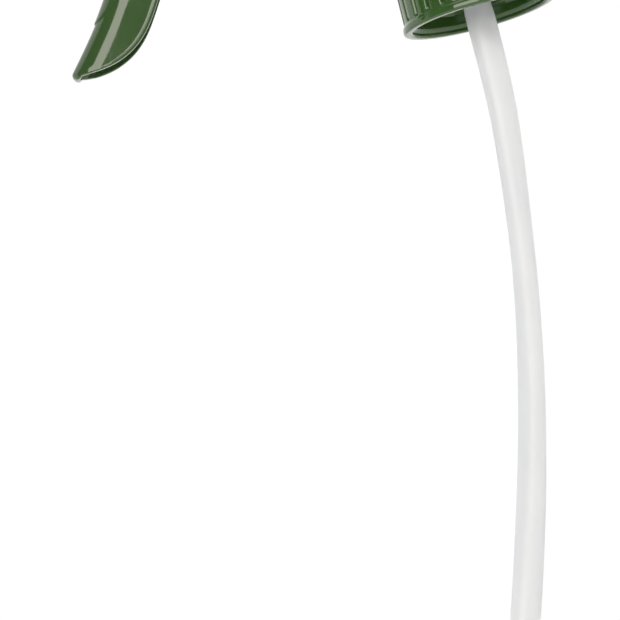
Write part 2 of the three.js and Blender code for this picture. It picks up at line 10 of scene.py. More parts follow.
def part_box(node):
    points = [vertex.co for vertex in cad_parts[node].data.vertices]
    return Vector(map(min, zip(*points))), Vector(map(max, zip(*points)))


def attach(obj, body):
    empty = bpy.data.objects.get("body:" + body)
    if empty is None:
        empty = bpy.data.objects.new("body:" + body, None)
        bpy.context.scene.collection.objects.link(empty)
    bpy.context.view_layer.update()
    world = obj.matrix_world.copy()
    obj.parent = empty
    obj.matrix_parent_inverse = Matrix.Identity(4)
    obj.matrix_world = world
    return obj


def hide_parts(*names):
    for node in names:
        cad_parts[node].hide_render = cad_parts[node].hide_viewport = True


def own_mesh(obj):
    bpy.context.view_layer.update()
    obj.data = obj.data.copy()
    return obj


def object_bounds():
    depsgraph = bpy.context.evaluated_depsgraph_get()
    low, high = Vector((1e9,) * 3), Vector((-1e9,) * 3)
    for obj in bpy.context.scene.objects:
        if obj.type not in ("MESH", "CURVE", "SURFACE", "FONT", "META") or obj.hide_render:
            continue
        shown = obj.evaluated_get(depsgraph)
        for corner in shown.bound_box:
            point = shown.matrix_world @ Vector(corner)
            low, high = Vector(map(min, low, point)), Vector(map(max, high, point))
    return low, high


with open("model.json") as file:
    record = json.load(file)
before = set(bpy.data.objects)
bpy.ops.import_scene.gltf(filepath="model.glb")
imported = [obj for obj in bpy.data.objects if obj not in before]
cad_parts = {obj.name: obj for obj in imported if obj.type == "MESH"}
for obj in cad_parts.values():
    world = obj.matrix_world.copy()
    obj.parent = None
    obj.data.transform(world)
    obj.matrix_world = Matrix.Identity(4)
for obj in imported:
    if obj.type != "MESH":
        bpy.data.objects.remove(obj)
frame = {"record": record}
cad_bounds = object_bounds()

MM = 0.001
TURN = 2 * math.pi


def span(node):
    """Lowest and highest corner of a CAD node, in millimetres."""
    low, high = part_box(node)
    return Vector(low) / MM, Vector(high) / MM


def joint_place(name):
    """Where a hinge of the record lies, in millimetres."""
    for joint in frame["record"]["behaviour"]["joints"]:
        if joint["name"] == name:
            return Vector(joint["pos_m"]) / MM
    raise KeyError(name)


# ---------- driving dimensions, in millimetres ----------

CLOSURE_LOW, CLOSURE_HIGH = span("closure")
SHROUD_LOW, SHROUD_HIGH = span("shroud")
CAP_LOW, CAP_HIGH = span("nozzle_cap")

PIVOT = joint_place("trigger_swing")
BARREL_Z = joint_place("nozzle_turn").z
PUMP_Z = (span("spring_seat")[0].z + span("spring_seat")[1].z) / 2

MOUTH_Z = CLOSURE_LOW.z
RIM_RADIUS = CLOSURE_HIGH.x
RIBS = 26
FINE = 96  # segments of a turned piece that shows


# ---------- camera ----------

CAMERA_DISTANCE = 0.6
CAMERA_AIM = Vector((-0.0521, 0.0091, -0.0672))
CAMERA_TURN = math.radians(5.475)  # towards the nozzle side of square-on
CAMERA_RISE = math.radians(4.421)  # looking slightly up
CAMERA_ROLL = math.radians(-14.594)
CAMERA_LENS = 157.55
SENSOR = 36.0


def make_camera():
    data = bpy.data.cameras.new("camera")
    data.lens = CAMERA_LENS
    data.sensor_width = SENSOR
    data.clip_start = 0.01
    data.clip_end = 50
    camera = bpy.data.objects.new("camera", data)
    bpy.context.scene.collection.objects.link(camera)
    bpy.context.scene.camera = camera
    turned = Matrix.Rotation(-CAMERA_TURN, 3, "Z")
    tilt = Matrix.Rotation(math.pi / 2 + CAMERA_RISE, 3, "X")
    roll = Matrix.Rotation(CAMERA_ROLL, 3, "Z")
    axes = turned @ tilt @ roll
    place = CAMERA_AIM + axes @ Vector((0, 0, CAMERA_DISTANCE))
    camera.matrix_world = Matrix.Translation(place) @ axes.to_4x4()


make_camera()


# ---------- materials ----------

def new_material(name):
    """An empty node material: itself, its nodes, its links and its shader."""
    material = bpy.data.materials.new(name)
    material.use_nodes = True
    nodes = material.node_tree.nodes
    links = material.node_tree.links
    return material, nodes, links, nodes["Principled BSDF"]


def object_noise(nodes, links, scale, detail=3.0, roughness=0.5):
    """Noise fixed to the piece. Its scale is in cycles a metre."""
    place = nodes.new("ShaderNodeTexCoord")
    noise = nodes.new("ShaderNodeTexNoise")
    noise.inputs["Scale"].default_value = scale
    noise.inputs["Detail"].default_value = detail
    noise.inputs["Roughness"].default_value = roughness
    links.new(place.outputs["Object"], noise.inputs["Vector"])
    return noise.outputs["Fac"]


def ramp_between(nodes, links, factor, dark, light, low=0.35, high=0.65):
    """A colour that runs from dark to light as the factor runs from low to high."""
    ramp = nodes.new("ShaderNodeValToRGB")
    ramp.color_ramp.elements[0].position = low
    ramp.color_ramp.elements[0].color = (*dark, 1)
    ramp.color_ramp.elements[1].position = high
    ramp.color_ramp.elements[1].color = (*light, 1)
    links.new(factor, ramp.inputs["Fac"])
    return ramp.outputs["Color"]


def vary(nodes, links, factor, low, high):
    """A number between low and high that follows the factor."""
    spread = nodes.new("ShaderNodeMapRange")
    spread.inputs["To Min"].default_value = low
    spread.inputs["To Max"].default_value = high
    links.new(factor, spread.inputs["Value"])
    return spread.outputs["Result"]


def bumped(nodes, links, shader, height, strength, distance):
    """Gives a shader a fine relief; the distance is in metres."""
    bump = nodes.new("ShaderNodeBump")
    bump.inputs["Strength"].default_value = strength
    bump.inputs["Distance"].default_value = distance
    links.new(height, bump.inputs["Height"])
    links.new(bump.outputs["Normal"], shader.inputs["Normal"])


def moulded_green(name, dark, light, gloss):
    """Glossy moulded plastic: faint flow marks in the colour, and a fine, low surface texture."""
    material, nodes, links, shader = new_material(name)
    flow = object_noise(nodes, links, 90.0, 2.0)
    links.new(ramp_between(nodes, links, flow, dark, light), shader.inputs["Base Color"])
    polish = vary(nodes, links, object_noise(nodes, links, 420.0), gloss, gloss + 0.06)
    links.new(polish, shader.inputs["Roughness"])
    bumped(nodes, links, shader, object_noise(nodes, links, 1500.0, 2.0), 0.06, 0.00004)
    shader.inputs["IOR"].default_value = 1.58
    return material


def natural_plastic():
    """Uncoloured moulded plastic: milky, satin, slightly uneven."""
    material, nodes, links, shader = new_material("natural_plastic")
    cloud = object_noise(nodes, links, 60.0, 2.0)
    tint = ramp_between(nodes, links, cloud, (0.70, 0.71, 0.68), (0.80, 0.81, 0.79))
    links.new(tint, shader.inputs["Base Color"])
    links.new(vary(nodes, links, object_noise(nodes, links, 500.0), 0.32, 0.44), shader.inputs["Roughness"])
    bumped(nodes, links, shader, object_noise(nodes, links, 1800.0, 2.0), 0.12, 0.00005)
    return material


def tube_plastic():
    """Extruded translucent pipe: a milky wall, cloudy in patches, with a soft sheen."""
    material, nodes, links, shader = new_material("tube_plastic")
    cloud = object_noise(nodes, links, 45.0, 2.0)
    tint = ramp_between(nodes, links, cloud, (0.920, 0.955, 0.990), (0.945, 0.980, 1.000))
    links.new(tint, shader.inputs["Base Color"])
    links.new(vary(nodes, links, object_noise(nodes, links, 260.0), 0.30, 0.40), shader.inputs["Roughness"])
    bumped(nodes, links, shader, object_noise(nodes, links, 900.0, 2.0), 0.05, 0.00004)
    shader.inputs["Transmission Weight"].default_value = 0.42
    shader.inputs["IOR"].default_value = 1.45
    return material


def seal_rubber():
    """Black moulded rubber with a fine grain."""
    material, nodes, links, shader = new_material("seal_rubber")
    grain = object_noise(nodes, links, 700.0)
    tint = ramp_between(nodes, links, grain, (0.012, 0.012, 0.013), (0.03, 0.03, 0.03))
    links.new(tint, shader.inputs["Base Color"])
    links.new(vary(nodes, links, grain, 0.45, 0.65), shader.inputs["Roughness"])
    bumped(nodes, links, shader, object_noise(nodes, links, 2500.0), 0.2, 0.00005)
    return material


def gasket_foam():
    """Closed-cell foam: small round cells over a pale sheet, each cell pressed in by the bump and painted
    darker in its middle as painted shade in the pit.
    """
    material, nodes, links, shader = new_material("gasket_foam")
    place = nodes.new("ShaderNodeTexCoord")
    cells = nodes.new("ShaderNodeTexVoronoi")
    cells.inputs["Scale"].default_value = 2600.0
    links.new(place.outputs["Object"], cells.inputs["Vector"])
    depth = cells.outputs["Distance"]
    # painted shade: the colour darkens towards each cell's middle, where the bump makes a pit
    tint = ramp_between(nodes, links, depth, (0.52, 0.52, 0.49), (0.70, 0.70, 0.67), 0.1, 0.6)
    links.new(tint, shader.inputs["Base Color"])
    bumped(nodes, links, shader, depth, 0.5, 0.0001)
    shader.inputs["Roughness"].default_value = 0.85
    return material


def steel(name, tint_dark, tint_light, rough_low, rough_high):
    """Bare steel, with small uneven patches in its colour and polish."""
    material, nodes, links, shader = new_material(name)
    streaks = object_noise(nodes, links, 800.0, 4.0)
    links.new(ramp_between(nodes, links, streaks, tint_dark, tint_light), shader.inputs["Base Color"])
    links.new(vary(nodes, links, streaks, rough_low, rough_high), shader.inputs["Roughness"])
    shader.inputs["Metallic"].default_value = 1.0
    return material


def pale_floor():
    """A matt, nearly white surface."""
    material, nodes, links, shader = new_material("pale_floor")
    mottle = object_noise(nodes, links, 3.0)
    tint = ramp_between(nodes, links, mottle, (0.86, 0.86, 0.86), (0.88, 0.88, 0.88))
    links.new(tint, shader.inputs["Base Color"])
    shader.inputs["Roughness"].default_value = 0.9
    return material


GREEN = moulded_green("green_plastic", (0.031, 0.074, 0.019), (0.035, 0.081, 0.022), 0.05)
RIM_GREEN = moulded_green("green_plastic_closure", (0.028, 0.078, 0.015), (0.034, 0.092, 0.020), 0.06)
NATURAL = natural_plastic()
TUBE_PLASTIC = tube_plastic()
RUBBER = seal_rubber()
FOAM = gasket_foam()
WIRE = steel("spring_steel", (0.50, 0.51, 0.52), (0.62, 0.63, 0.64), 0.22, 0.34)
BALL_STEEL = steel("ball_steel", (0.68, 0.69, 0.70), (0.74, 0.75, 0.76), 0.04, 0.08)


# ---------- mesh helpers ----------

def new_object(name, vertices, faces):
    """A mesh object from points in millimetres."""
    mesh = bpy.data.meshes.new(name)
    mesh.from_pydata([Vector(v) * MM for v in vertices], [], faces)
    mesh.validate()
    obj = bpy.data.objects.new(name, mesh)
    bpy.context.scene.collection.objects.link(obj)
    return obj


def tidy_normals(obj):
    """Joins points that coincide, closes slits that a cut has left, and turns all faces outwards."""
    work = bmesh.new()
    work.from_mesh(obj.data)
    bmesh.ops.remove_doubles(work, verts=work.verts, dist=2e-6)
    bmesh.ops.holes_fill(work, edges=[edge for edge in work.edges if edge.is_boundary], sides=8)
    bmesh.ops.recalc_face_normals(work, faces=work.faces)
    work.to_mesh(obj.data)
    work.free()


def finished(obj, material, body, nodes, sharp=38):
    """Shades a piece, gives it its material, and puts it in place of its CAD nodes."""
    tidy_normals(obj)
    obj.data.shade_smooth()
    obj.data.set_sharp_from_angle(angle=math.radians(sharp))
    obj.data.materials.clear()
    obj.data.materials.append(material)
    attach(obj, body)
    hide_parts(*nodes)
    return obj


def loop_grid(name, rings, closed_ends):
    """A skin through rings of equal length; the ends are closed by flat faces, or the rings run round."""
    count = len(rings[0])
    vertices = [point for ring in rings for point in ring]
    faces = []
    last = len(rings) - 1 if closed_ends else len(rings)
    for i in range(last):
        here = i * count
        there = (i + 1) % len(rings) * count
        for j in range(count):
            k = (j + 1) % count
            faces.append((here + j, here + k, there + k, there + j))
    if closed_ends:
        faces.append(tuple(reversed(range(count))))
        faces.append(tuple(range(last * count, last * count + count)))
    return new_object(name, vertices, faces)


def filleted(profile, radius, steps=4):
    """A closed [radius, height] outline with its corners rounded. Corners on the axis stay."""
    rounded = []
    for i, corner in enumerate(profile):
        corner = Vector(corner)
        before = Vector(profile[i - 1]) - corner
        after = Vector(profile[(i + 1) % len(profile)]) - corner
        if corner.x < 1e-6 or before.length < 1e-6 or after.length < 1e-6:
            rounded.append(tuple(corner))
            continue
        half = before.angle(after) / 2
        if half > math.radians(86):
            rounded.append(tuple(corner))
            continue
        reach = min(radius / math.tan(half), 0.45 * before.length, 0.45 * after.length)
        start = corner + before.normalized() * reach
        end = corner + after.normalized() * reach
        for step in range(steps + 1):
            t = step / steps
            point = start * (1 - t) ** 2 + corner * 2 * t * (1 - t) + end * t ** 2
            rounded.append(tuple(point))
    return rounded


def turned(name, profile, radius=0.2, segments=FINE):
    """A closed [radius, height] outline turned about +Z, in millimetres."""
    outline = filleted(profile, radius)
    vertices = []
    for r, z in outline:
        for i in range(segments):
            angle = TURN * i / segments
            vertices.append((r * math.cos(angle), r * math.sin(angle), z))
    faces = []
    rows = len(outline)
    for row in range(rows):
        under = row * segments
        over = (row + 1) % rows * segments
        if outline[row][0] < 1e-6 and outline[(row + 1) % rows][0] < 1e-6:
            continue
        for i in range(segments):
            j = (i + 1) % segments
            faces.append((under + i, under + j, over + j, over + i))
    obj = new_object(name, vertices, faces)
    work = bmesh.new()
    work.from_mesh(obj.data)
    bmesh.ops.remove_doubles(work, verts=work.verts, dist=1e-7)
    bmesh.ops.dissolve_degenerate(work, edges=work.edges, dist=1e-7)
    work.to_mesh(obj.data)
    work.free()
    return obj


def moved(obj, matrix):
    """Moves a mesh; the matrix is in metres."""
    obj.data.transform(matrix)
    return obj


def along_nozzle(obj, height):
    """Lays a piece made along +Z so that its height runs along -X."""
    turn = Matrix.Rotation(-math.pi / 2, 4, "Y")
    return moved(obj, Matrix.Translation((0, 0, height * MM)) @ turn)


def across(obj, x, z):
    """Lays a piece made along +Z across the sprayer."""
    turn = Matrix.Rotation(math.pi / 2, 4, "X")
    return moved(obj, Matrix.Translation((x * MM, 0, z * MM)) @ turn)


def rod(name, radius, low, high, segments=48):
    """A round bar about +Z."""
    return turned(name, [(0, low), (radius, low), (radius, high), (0, high)], 0, segments)


def torus(name, middle, thickness, height):
    """A round ring about +Z, such as an o-ring."""
    ring = []
    for i in range(20):
        angle = TURN * i / 20
        ring.append((middle + thickness / 2 * math.cos(angle), height + thickness / 2 * math.sin(angle)))
    return turned(name, ring, 0, 128)


def prism(name, outline, axis, low, high):
    """An outline made solid along one axis: it is given in the other two, in the order X, Y, Z."""
    def corner(u, v, w):
        return {"X": (w, u, v), "Y": (u, w, v), "Z": (u, v, w)}[axis]
    count = len(outline)
    vertices = [corner(u, v, low) for u, v in outline] + [corner(u, v, high) for u, v in outline]
    faces = [tuple(range(count)), tuple(reversed(range(count, 2 * count)))]
    faces += [(i, (i + 1) % count, (i + 1) % count + count, i + count) for i in range(count)]
    return new_object(name, vertices, faces)


def drawn_in(outline, distance):
    """An outline moved inwards by a distance; it runs clockwise or anticlockwise."""
    area = sum(a[0] * b[1] - b[0] * a[1] for a, b in zip(outline, outline[1:] + outline[:1]))
    sign = 1 if area > 0 else -1
    result = []
    for i, point in enumerate(outline):
        point = Vector(point)
        before = (point - Vector(outline[i - 1])).normalized()
        after = (Vector(outline[(i + 1) % len(outline)]) - point).normalized()
        inward = (Vector((-before.y, before.x)) + Vector((-after.y, after.x))) * sign
        reach = distance * 2 / max(inward.length_squared, 0.4)
        result.append(tuple(point + inward * reach))
    return result


def curve_to(points, control, end, steps=12):
    """Adds a quadratic curve to an outline."""
    start = Vector(points[-1])
    control, end = Vector(control), Vector(end)
    for i in range(1, steps + 1):
        t = i / steps
        points.append(tuple(start * (1 - t) ** 2 + control * 2 * t * (1 - t) + end * t * t))


def moulded(obj, voxel, rounds):
    """Turns joined solids into one skin with softly rounded edges and inner corners."""
    skin = obj.modifiers.new("skin", "REMESH")
    skin.mode = "VOXEL"
    skin.voxel_size = voxel * MM
    soften = obj.modifiers.new("soften", "SMOOTH")
    soften.factor = 0.5
    soften.iterations = rounds
    applied(obj)
    return obj


def block(name, low, high):
    """A box between two corners."""
    x0, y0, z0 = low
    x1, y1, z1 = high
    corners = [(x, y, z) for x in (x0, x1) for y in (y0, y1) for z in (z0, z1)]
    faces = [(0, 1, 3, 2), (4, 6, 7, 5), (0, 4, 5, 1), (2, 3, 7, 6), (0, 2, 6, 4), (1, 5, 7, 3)]
    return new_object(name, corners, faces)


def combined(obj, tools, operation):
    """Cuts or joins solids, and removes the tools."""
    for tool in tools:
        tidy_normals(obj)
        tidy_normals(tool)
        step = obj.modifiers.new("step", "BOOLEAN")
        step.operation = operation
        step.solver = "EXACT"
        step.object = tool
        applied(obj)
        bpy.data.objects.remove(tool)
    return obj


def applied(obj):
    """Turns an object's modifiers into its mesh."""
    graph = bpy.context.evaluated_depsgraph_get()
    mesh = bpy.data.meshes.new_from_object(obj.evaluated_get(graph))
    obj.modifiers.clear()
    obj.data = mesh


def smooth_step(low, high, value):
    t = min(max((value - low) / (high - low), 0.0), 1.0)
    return t * t * (3 - 2 * t)


def evenly(low, high, steps):
    """Even steps from low, left out, to high."""
    return [low + (high - low) * (k + 1) / steps for k in range(steps)]


def bezier(points, steps):
    """Points on a cubic curve from its four control points, the first left out."""
    a, b, c, d = (Vector(p) for p in points)
    result = []
    for i in range(1, steps + 1):
        t = i / steps
        u = 1 - t
        result.append(a * u ** 3 + b * 3 * u * u * t + c * 3 * u * t * t + d * t ** 3)
    return result


# ---------- closure ----------

CLOSURE_WALL_RADIUS = RIM_RADIUS - 2.875
THREAD_PITCH = 3.2


def closure_outer(z, angle):
    """Outer radius: smooth collar and lip at the mouth, broad ribs above."""
    crest = RIM_RADIUS - 0.4
    groove_depth = 0.72
    turn = angle * RIBS / TURN % 1.0
    side = abs(turn - 0.5) * 2
    groove = smooth_step(0.66, 0.90, side)
    start = MOUTH_Z + 2.0
    end = CLOSURE_HIGH.z - 1.7
    fade = smooth_step(start - 0.1, start + 0.8, z) * (1 - smooth_step(end, end + 0.8, z))
    collar = 0.46 * (1 - smooth_step(start - 0.9, start + 0.1, z))
    draft = 0.25 * (z - MOUTH_Z) / (CLOSURE_HIGH.z - MOUTH_Z)
    return crest + collar - draft - groove_depth * groove * fade


def closure_inner(z, angle):
    """Inner radius: a lead-in at the mouth, then the wall with one helical thread."""
    lead = 0.9 * (1 - smooth_step(MOUTH_Z + 0.9, MOUTH_Z + 1.6, z))
    crest = (z - (MOUTH_Z + 4.0) - THREAD_PITCH * angle / TURN) / THREAD_PITCH
    height = abs(crest - round(crest)) * THREAD_PITCH
    ridge = 1.0 - smooth_step(0.25, 0.85, height)
    inside = smooth_step(MOUTH_Z + 2.6, MOUTH_Z + 3.4, z) * (1 - smooth_step(-1.9, -1.1, z))
    return CLOSURE_WALL_RADIUS + lead - 1.05 * ridge * inside


def make_closure():
    roof = CLOSURE_HIGH.z - 1.5
    hole = 7.6
    outer_z = [MOUTH_Z + 0.35 + i * 0.25 for i in range(12)]
    outer_z += [outer_z[-1] + (CLOSURE_HIGH.z - 1.2 - outer_z[-1]) * i / 24 for i in range(1, 25)]
    inner_z = [roof - 0.3 - i * (roof - 0.65 - MOUTH_Z) / 60 for i in range(61)]
    rings = []
    segments = RIBS * 16
    for i in range(segments):
        angle = TURN * i / segments
        profile = [(closure_outer(z, angle), z) for z in outer_z]
        top = profile[-1][0]
        for k in range(1, 7):
            a = math.pi / 2 * k / 6
            profile.append((top - 1.2 * (1 - math.cos(a)), CLOSURE_HIGH.z - 1.2 + 1.2 * math.sin(a)))
        profile += [(hole + 0.3, CLOSURE_HIGH.z), (hole, CLOSURE_HIGH.z - 0.3)]
        profile += [(hole, roof + 0.3), (hole + 0.3, roof)]
        wall = CLOSURE_WALL_RADIUS
        profile += [(wall - 0.3, roof)]
        profile += [(closure_inner(z, angle), z) for z in inner_z]
        mouth = closure_inner(inner_z[-1], angle)
        profile += [(mouth + 0.1, MOUTH_Z + 0.1), (mouth + 0.3, MOUTH_Z)]
        rim = closure_outer(outer_z[0], angle)
        profile += [(rim - 0.3, MOUTH_Z), (rim - 0.1, MOUTH_Z + 0.12)]
        rings.append([(r * math.cos(angle), r * math.sin(angle), z) for r, z in profile])
    obj = loop_grid("closure_moulding", rings, False)
    return finished(obj, RIM_GREEN, "closure", ["closure"], 50)


# ---------- dip tube ----------

TUBE_ROUTE = [
    (0, 1.5), (0, -10), (0, -20), (-0.1, -27), (-0.5, -36), (-1.5, -46),
    (-2.9, -57), (-5.0, -71), (-7.9, -86), (-11.4, -101), (-15.2, -115), (-19.3, -128.5),
    (-23.7, -142), (-28.2, -155), (-32.6, -168), (-36.8, -181), (-40.6, -194), (-44.0, -207), (-47.0, -220),
]
TUBE_RADIUS = 3.0
TUBE_BORE = 2.1
TUBE_OVAL = 0.3  # how far the coiled pipe has gone out of round
# height of the point where the wide side of the oval has turned by each quarter turn
TUBE_TWIST = [(-16.0, 0.0), (-74.0, 0.5 * math.pi), (-150.0, math.pi), (-222.0, 1.4 * math.pi)]


def through(points, steps):
    """A smooth curve through points in the middle plane, with its directions."""
    places = []
    ends = [2 * Vector(points[0]) - Vector(points[1])] + [Vector(p) for p in points]
    ends.append(2 * Vector(points[-1]) - Vector(points[-2]))
    for i in range(1, len(ends) - 2):
        a, b, c, d = ends[i - 1], ends[i], ends[i + 1], ends[i + 2]
        for step in range(steps):
            t = step / steps
            places.append(0.5 * (2 * b + (c - a) * t + (2 * a - 5 * b + 4 * c - d) * t * t
                                 + (3 * b - a - 3 * c + d) * t ** 3))
    places.append(Vector(points[-1]))
    return places


def twist_at(z):
    for (z0, a0), (z1, a1) in zip(TUBE_TWIST, TUBE_TWIST[1:]):
        if z >= z1:
            return a0 + (a1 - a0) * min(max((z0 - z) / (z0 - z1), 0), 1)
    return TUBE_TWIST[-1][1]


def tube_ring(place, direction, radius, segments):
    side = Vector((-direction.y, direction.x))
    oval = TUBE_OVAL * smooth_step(-8, -16, place.y) if place.y < -8 else 0
    twist = twist_at(place.y)
    ring = []
    for i in range(segments):
        angle = TURN * i / segments
        reach = radius + oval * math.cos(2 * (angle - twist))
        flat = place + side * reach * math.cos(angle)
        ring.append((flat.x, reach * math.sin(angle), flat.y))
    return ring


def make_dip_tube():
    places = through(TUBE_ROUTE, 8)
    segments = 48
    outer, inner = [], []
    for i, place in enumerate(places):
        before = places[max(i - 1, 0)]
        after = places[min(i + 1, len(places) - 1)]
        direction = (after - before).normalized()
        outer.append(tube_ring(place, direction, TUBE_RADIUS, segments))
        inner.append(tube_ring(place, direction, TUBE_BORE, segments))
    obj = loop_grid("dip_tube_pipe", outer + inner[::-1], False)
    return finished(obj, TUBE_PLASTIC, "head", ["dip_tube"], 50)


# ---------- trigger ----------

TRIGGER_PIN_RADIUS = 1.5
DRIVE_PIN_RADIUS = 1.2
HEEL = Vector((-90.0, -4.7))
FRONT_RADIUS = 150.0
FRONT_LEAN = math.radians(39.5)
FRONT_CENTRE = HEEL - FRONT_RADIUS * Vector((math.cos(FRONT_LEAN), -math.sin(FRONT_LEAN)))
FRONT_LENGTH = 56.0
REAR_DEPTH = 11.6
EAR_RADIUS = 3.9
FAN_START = 46.0  # above this the sections fan out into the hinge ears
LEVER_WALL = 1.5
SIDE_WALL = 1.3
NOSE_DEPTH = 5.3  # the rounded front of the section: how far back it runs, and how wide its curve is
NOSE_WIDTH = 4.6
TIP_CENTRE = -0.45  # the rounded tip in side view, and how it closes in as seen from the front
TIP_ROUND = 1.1
TIP_LENGTH = 4.0
TIP_NARROWING = 1.5
PAD_START = 11.3
PAD_RAISE = 0.28
BEAD = 0.05  # the rim along the rear edges of the walls stands this proud
BEAD_WIDTH = 0.72


def lever_place(rise, depth):
    """A point from its arc length above the heel and its depth behind the front face."""
    angle = -FRONT_LEAN + rise / FRONT_RADIUS
    return FRONT_CENTRE + (FRONT_RADIUS + depth) * Vector((math.cos(angle), math.sin(angle)))


def lever_coordinates(place):
    """The reverse of lever_place."""
    arm = place - FRONT_CENTRE
    return Vector(((math.atan2(arm.y, arm.x) + FRONT_LEAN) * FRONT_RADIUS, arm.length - FRONT_RADIUS))


def tip_reach(rise):
    return math.sqrt(max(TIP_ROUND ** 2 - min(rise - TIP_CENTRE, 0) ** 2, 0))


def front_depth(rise):
    """How far the front face lies behind the driving arc: rounded at the tip, nearly straight above."""
    return TIP_ROUND + 0.05 - tip_reach(rise) + 0.22 * smooth_step(0, 13, rise)


def rear_depth(rise):
    """Depth of the rear edge: round the tip, then sweeping out quickly, then running level."""
    run = min(max((rise + 1.9) / 20.2, 0), 1)
    sweep = REAR_DEPTH * (1 - (1 - run) ** 2.8)
    if rise > TIP_CENTRE:
        return sweep
    return max(sweep, TIP_ROUND + 0.05 + tip_reach(rise))


def ear_edge():
    """The edge of the hinge ears, from the end of the level rear edge round the pivot to the front."""
    pivot = lever_coordinates(Vector((PIVOT.x, PIVOT.z)))

    def on_ear(degrees):
        angle = math.radians(degrees)
        return pivot + EAR_RADIUS * Vector((math.sin(angle), math.cos(angle)))

    join = on_ear(20)
    start = Vector((FAN_START, REAR_DEPTH))
    slope = Vector((math.cos(math.radians(20)), -math.sin(math.radians(20))))
    edge = bezier([start, start + Vector((5, 0)), join - 4.2 * slope, join], 14)
    edge += [on_ear(20 + 150 * k / 18) for k in range(1, 19)]
    return [lever_place(*point) for point in edge]


def lever_half_width(rise, z):
    """Half the lever's width: it widens towards the hinge ears and closes in round the tip."""
    low = 4.6 + 0.25 * smooth_step(-5, 8, z)
    half = low + (7.1 - low) * smooth_step(6, 38, z)
    run = min(max((rise - TIP_CENTRE + TIP_ROUND) / TIP_LENGTH, 0), 1)
    return half - TIP_NARROWING * (1 - math.sqrt(1 - (1 - run) ** 2))


def nose_half(depth, half):
    """Half width of the section at a depth: the rounded front, then the straight side walls."""
    width = min(NOSE_WIDTH, half - 0.3)
    share = 1 - min(depth / NOSE_DEPTH, 1)
    return half - width * (1 - math.sqrt(1 - share ** 2))


def hollow_half(depth, floor, half):
    """Half width of the channel inside, with its own rounded floor."""
    inside = half - SIDE_WALL
    share = 1 - min(max(depth - floor, 0) / (NOSE_DEPTH - LEVER_WALL), 1)
    return inside - (inside - 0.4) * (1 - math.sqrt(1 - share ** 2))


def pad_lift(rise, depth):
    """The grip pad on the front stands proud above a curved lower edge."""
    start = PAD_START + 4.6 * (depth / 2.0) ** 1.5
    return PAD_RAISE * smooth_step(start - 0.2, start + 0.2, rise) * (1 - smooth_step(1.9, 2.3, depth))


def outside_points(rise, depth, half, edge):
    """From the middle of the front to the rear edge."""
    end = depth - edge
    turn = math.acos(1 - min(end, NOSE_DEPTH) / NOSE_DEPTH)
    points = []
    for k in range(33):
        d = NOSE_DEPTH * (1 - math.cos(turn * k / 32))
        points.append((d - pad_lift(rise, d), nose_half(d, half)))
    ramp = depth - BEAD_WIDTH
    flat_start = min(end, NOSE_DEPTH)
    flat_end = max(flat_start, ramp - 0.08)
    depths = evenly(flat_start, flat_end, 10) + evenly(flat_end, max(flat_end, ramp + 0.08), 4)
    depths += evenly(max(flat_end, ramp + 0.08), max(end, flat_end, ramp + 0.08), 3)
    for d in depths:
        d = min(d, end)
        points.append((d, nose_half(d, half)))
    bead = BEAD * smooth_step(NOSE_DEPTH + 0.8, NOSE_DEPTH + 2.5, depth)
    points = [(d, y + bead * smooth_step(ramp - 0.08, ramp + 0.08, d)) for d, y in points]
    last = points[-1][1]
    for k in range(1, 6):
        a = math.pi / 2 * k / 5
        points.append((end + edge * math.sin(a), last - edge * (1 - math.cos(a))))
    return points


def inside_points(depth, half, floor, rim):
    """From the rear edge to the middle of the channel's floor."""
    lip = min(0.2, depth - floor)
    start = hollow_half(depth - lip, floor, half)
    points = [(depth, min(start + lip, rim - 0.02))]
    for k in range(19):
        d = floor + (depth - lip - floor) * (1 - math.sin(math.pi / 2 * k / 18))
        points.append((d, min(hollow_half(d, floor, half), rim - 0.04)))
    return points + [(floor, 0.0)]


def lever_section(front, rear, rise):
    """One closed cross-section of the channel. It starts and ends at the middle of the front."""
    depth = (rear - front).length
    inward = (rear - front) / depth
    half = lever_half_width(rise, front.y)
    solid = 1 - smooth_step(-1.3, -0.6, rise)
    floor = min(LEVER_WALL + solid * depth, depth)
    outside = outside_points(rise, depth, half, min(0.3, depth * 0.25))
    profile = [(outside[0][0], 0.0)] + outside
    profile += inside_points(depth, half, floor, outside[-1][1])
    places = [(front + inward * d, y) for d, y in profile]
    loop = [(p.x, -y, p.y) for p, y in places]
    loop += [(p.x, y, p.y) for p, y in places[-2:0:-1]]
    return loop


def make_trigger():
    tip = TIP_CENTRE - TIP_ROUND
    rises = [tip + 0.015 + 1.7 * (1 - math.cos(math.pi / 2 * k / 14)) for k in range(15)]
    rises += evenly(rises[-1], PAD_START - 0.5, 26)
    rises += evenly(rises[-1], PAD_START + 6.5, 60)
    rises += evenly(rises[-1], FAN_START, 30)
    rings = []
    for rise in rises:
        front = lever_place(rise, front_depth(rise))
        rings.append(lever_section(front, lever_place(rise, rear_depth(rise)), rise))
    edge = ear_edge()
    for rise, rear in zip(evenly(FAN_START, FRONT_LENGTH, len(edge)), edge):
        rings.append(lever_section(lever_place(rise, front_depth(rise)), rear, rise))
    obj = loop_grid("trigger_lever", rings, True)
    tidy_normals(obj)
    drive_low, drive_high = span("drive_pin")
    drive = (drive_low + drive_high) / 2
    holes = [
        across(rod("hole", TRIGGER_PIN_RADIUS + 0.1, -12, 12), PIVOT.x, PIVOT.z),
        across(rod("hole", DRIVE_PIN_RADIUS + 0.05, -12, 12), drive.x, drive.z),
    ]
    combined(obj, holes, "DIFFERENCE")
    return finished(obj, GREEN, "trigger", ["trigger"], 40)


# ---------- shroud ----------

SHROUD_HALF = 13.0
SHROUD_NOSE = 10.0
SHROUD_WALL = 1.8
LINE_HEIGHT = 48.5  # the line round the outside: its height, half its width and its depth
LINE_HALF = 0.75
LINE_DEPTH = 0.4
SHROUD_GRID = 0.48  # mesh spacing, and how many times it is smoothed: edges about 1.5 round
SHROUD_SOFTENING = 18


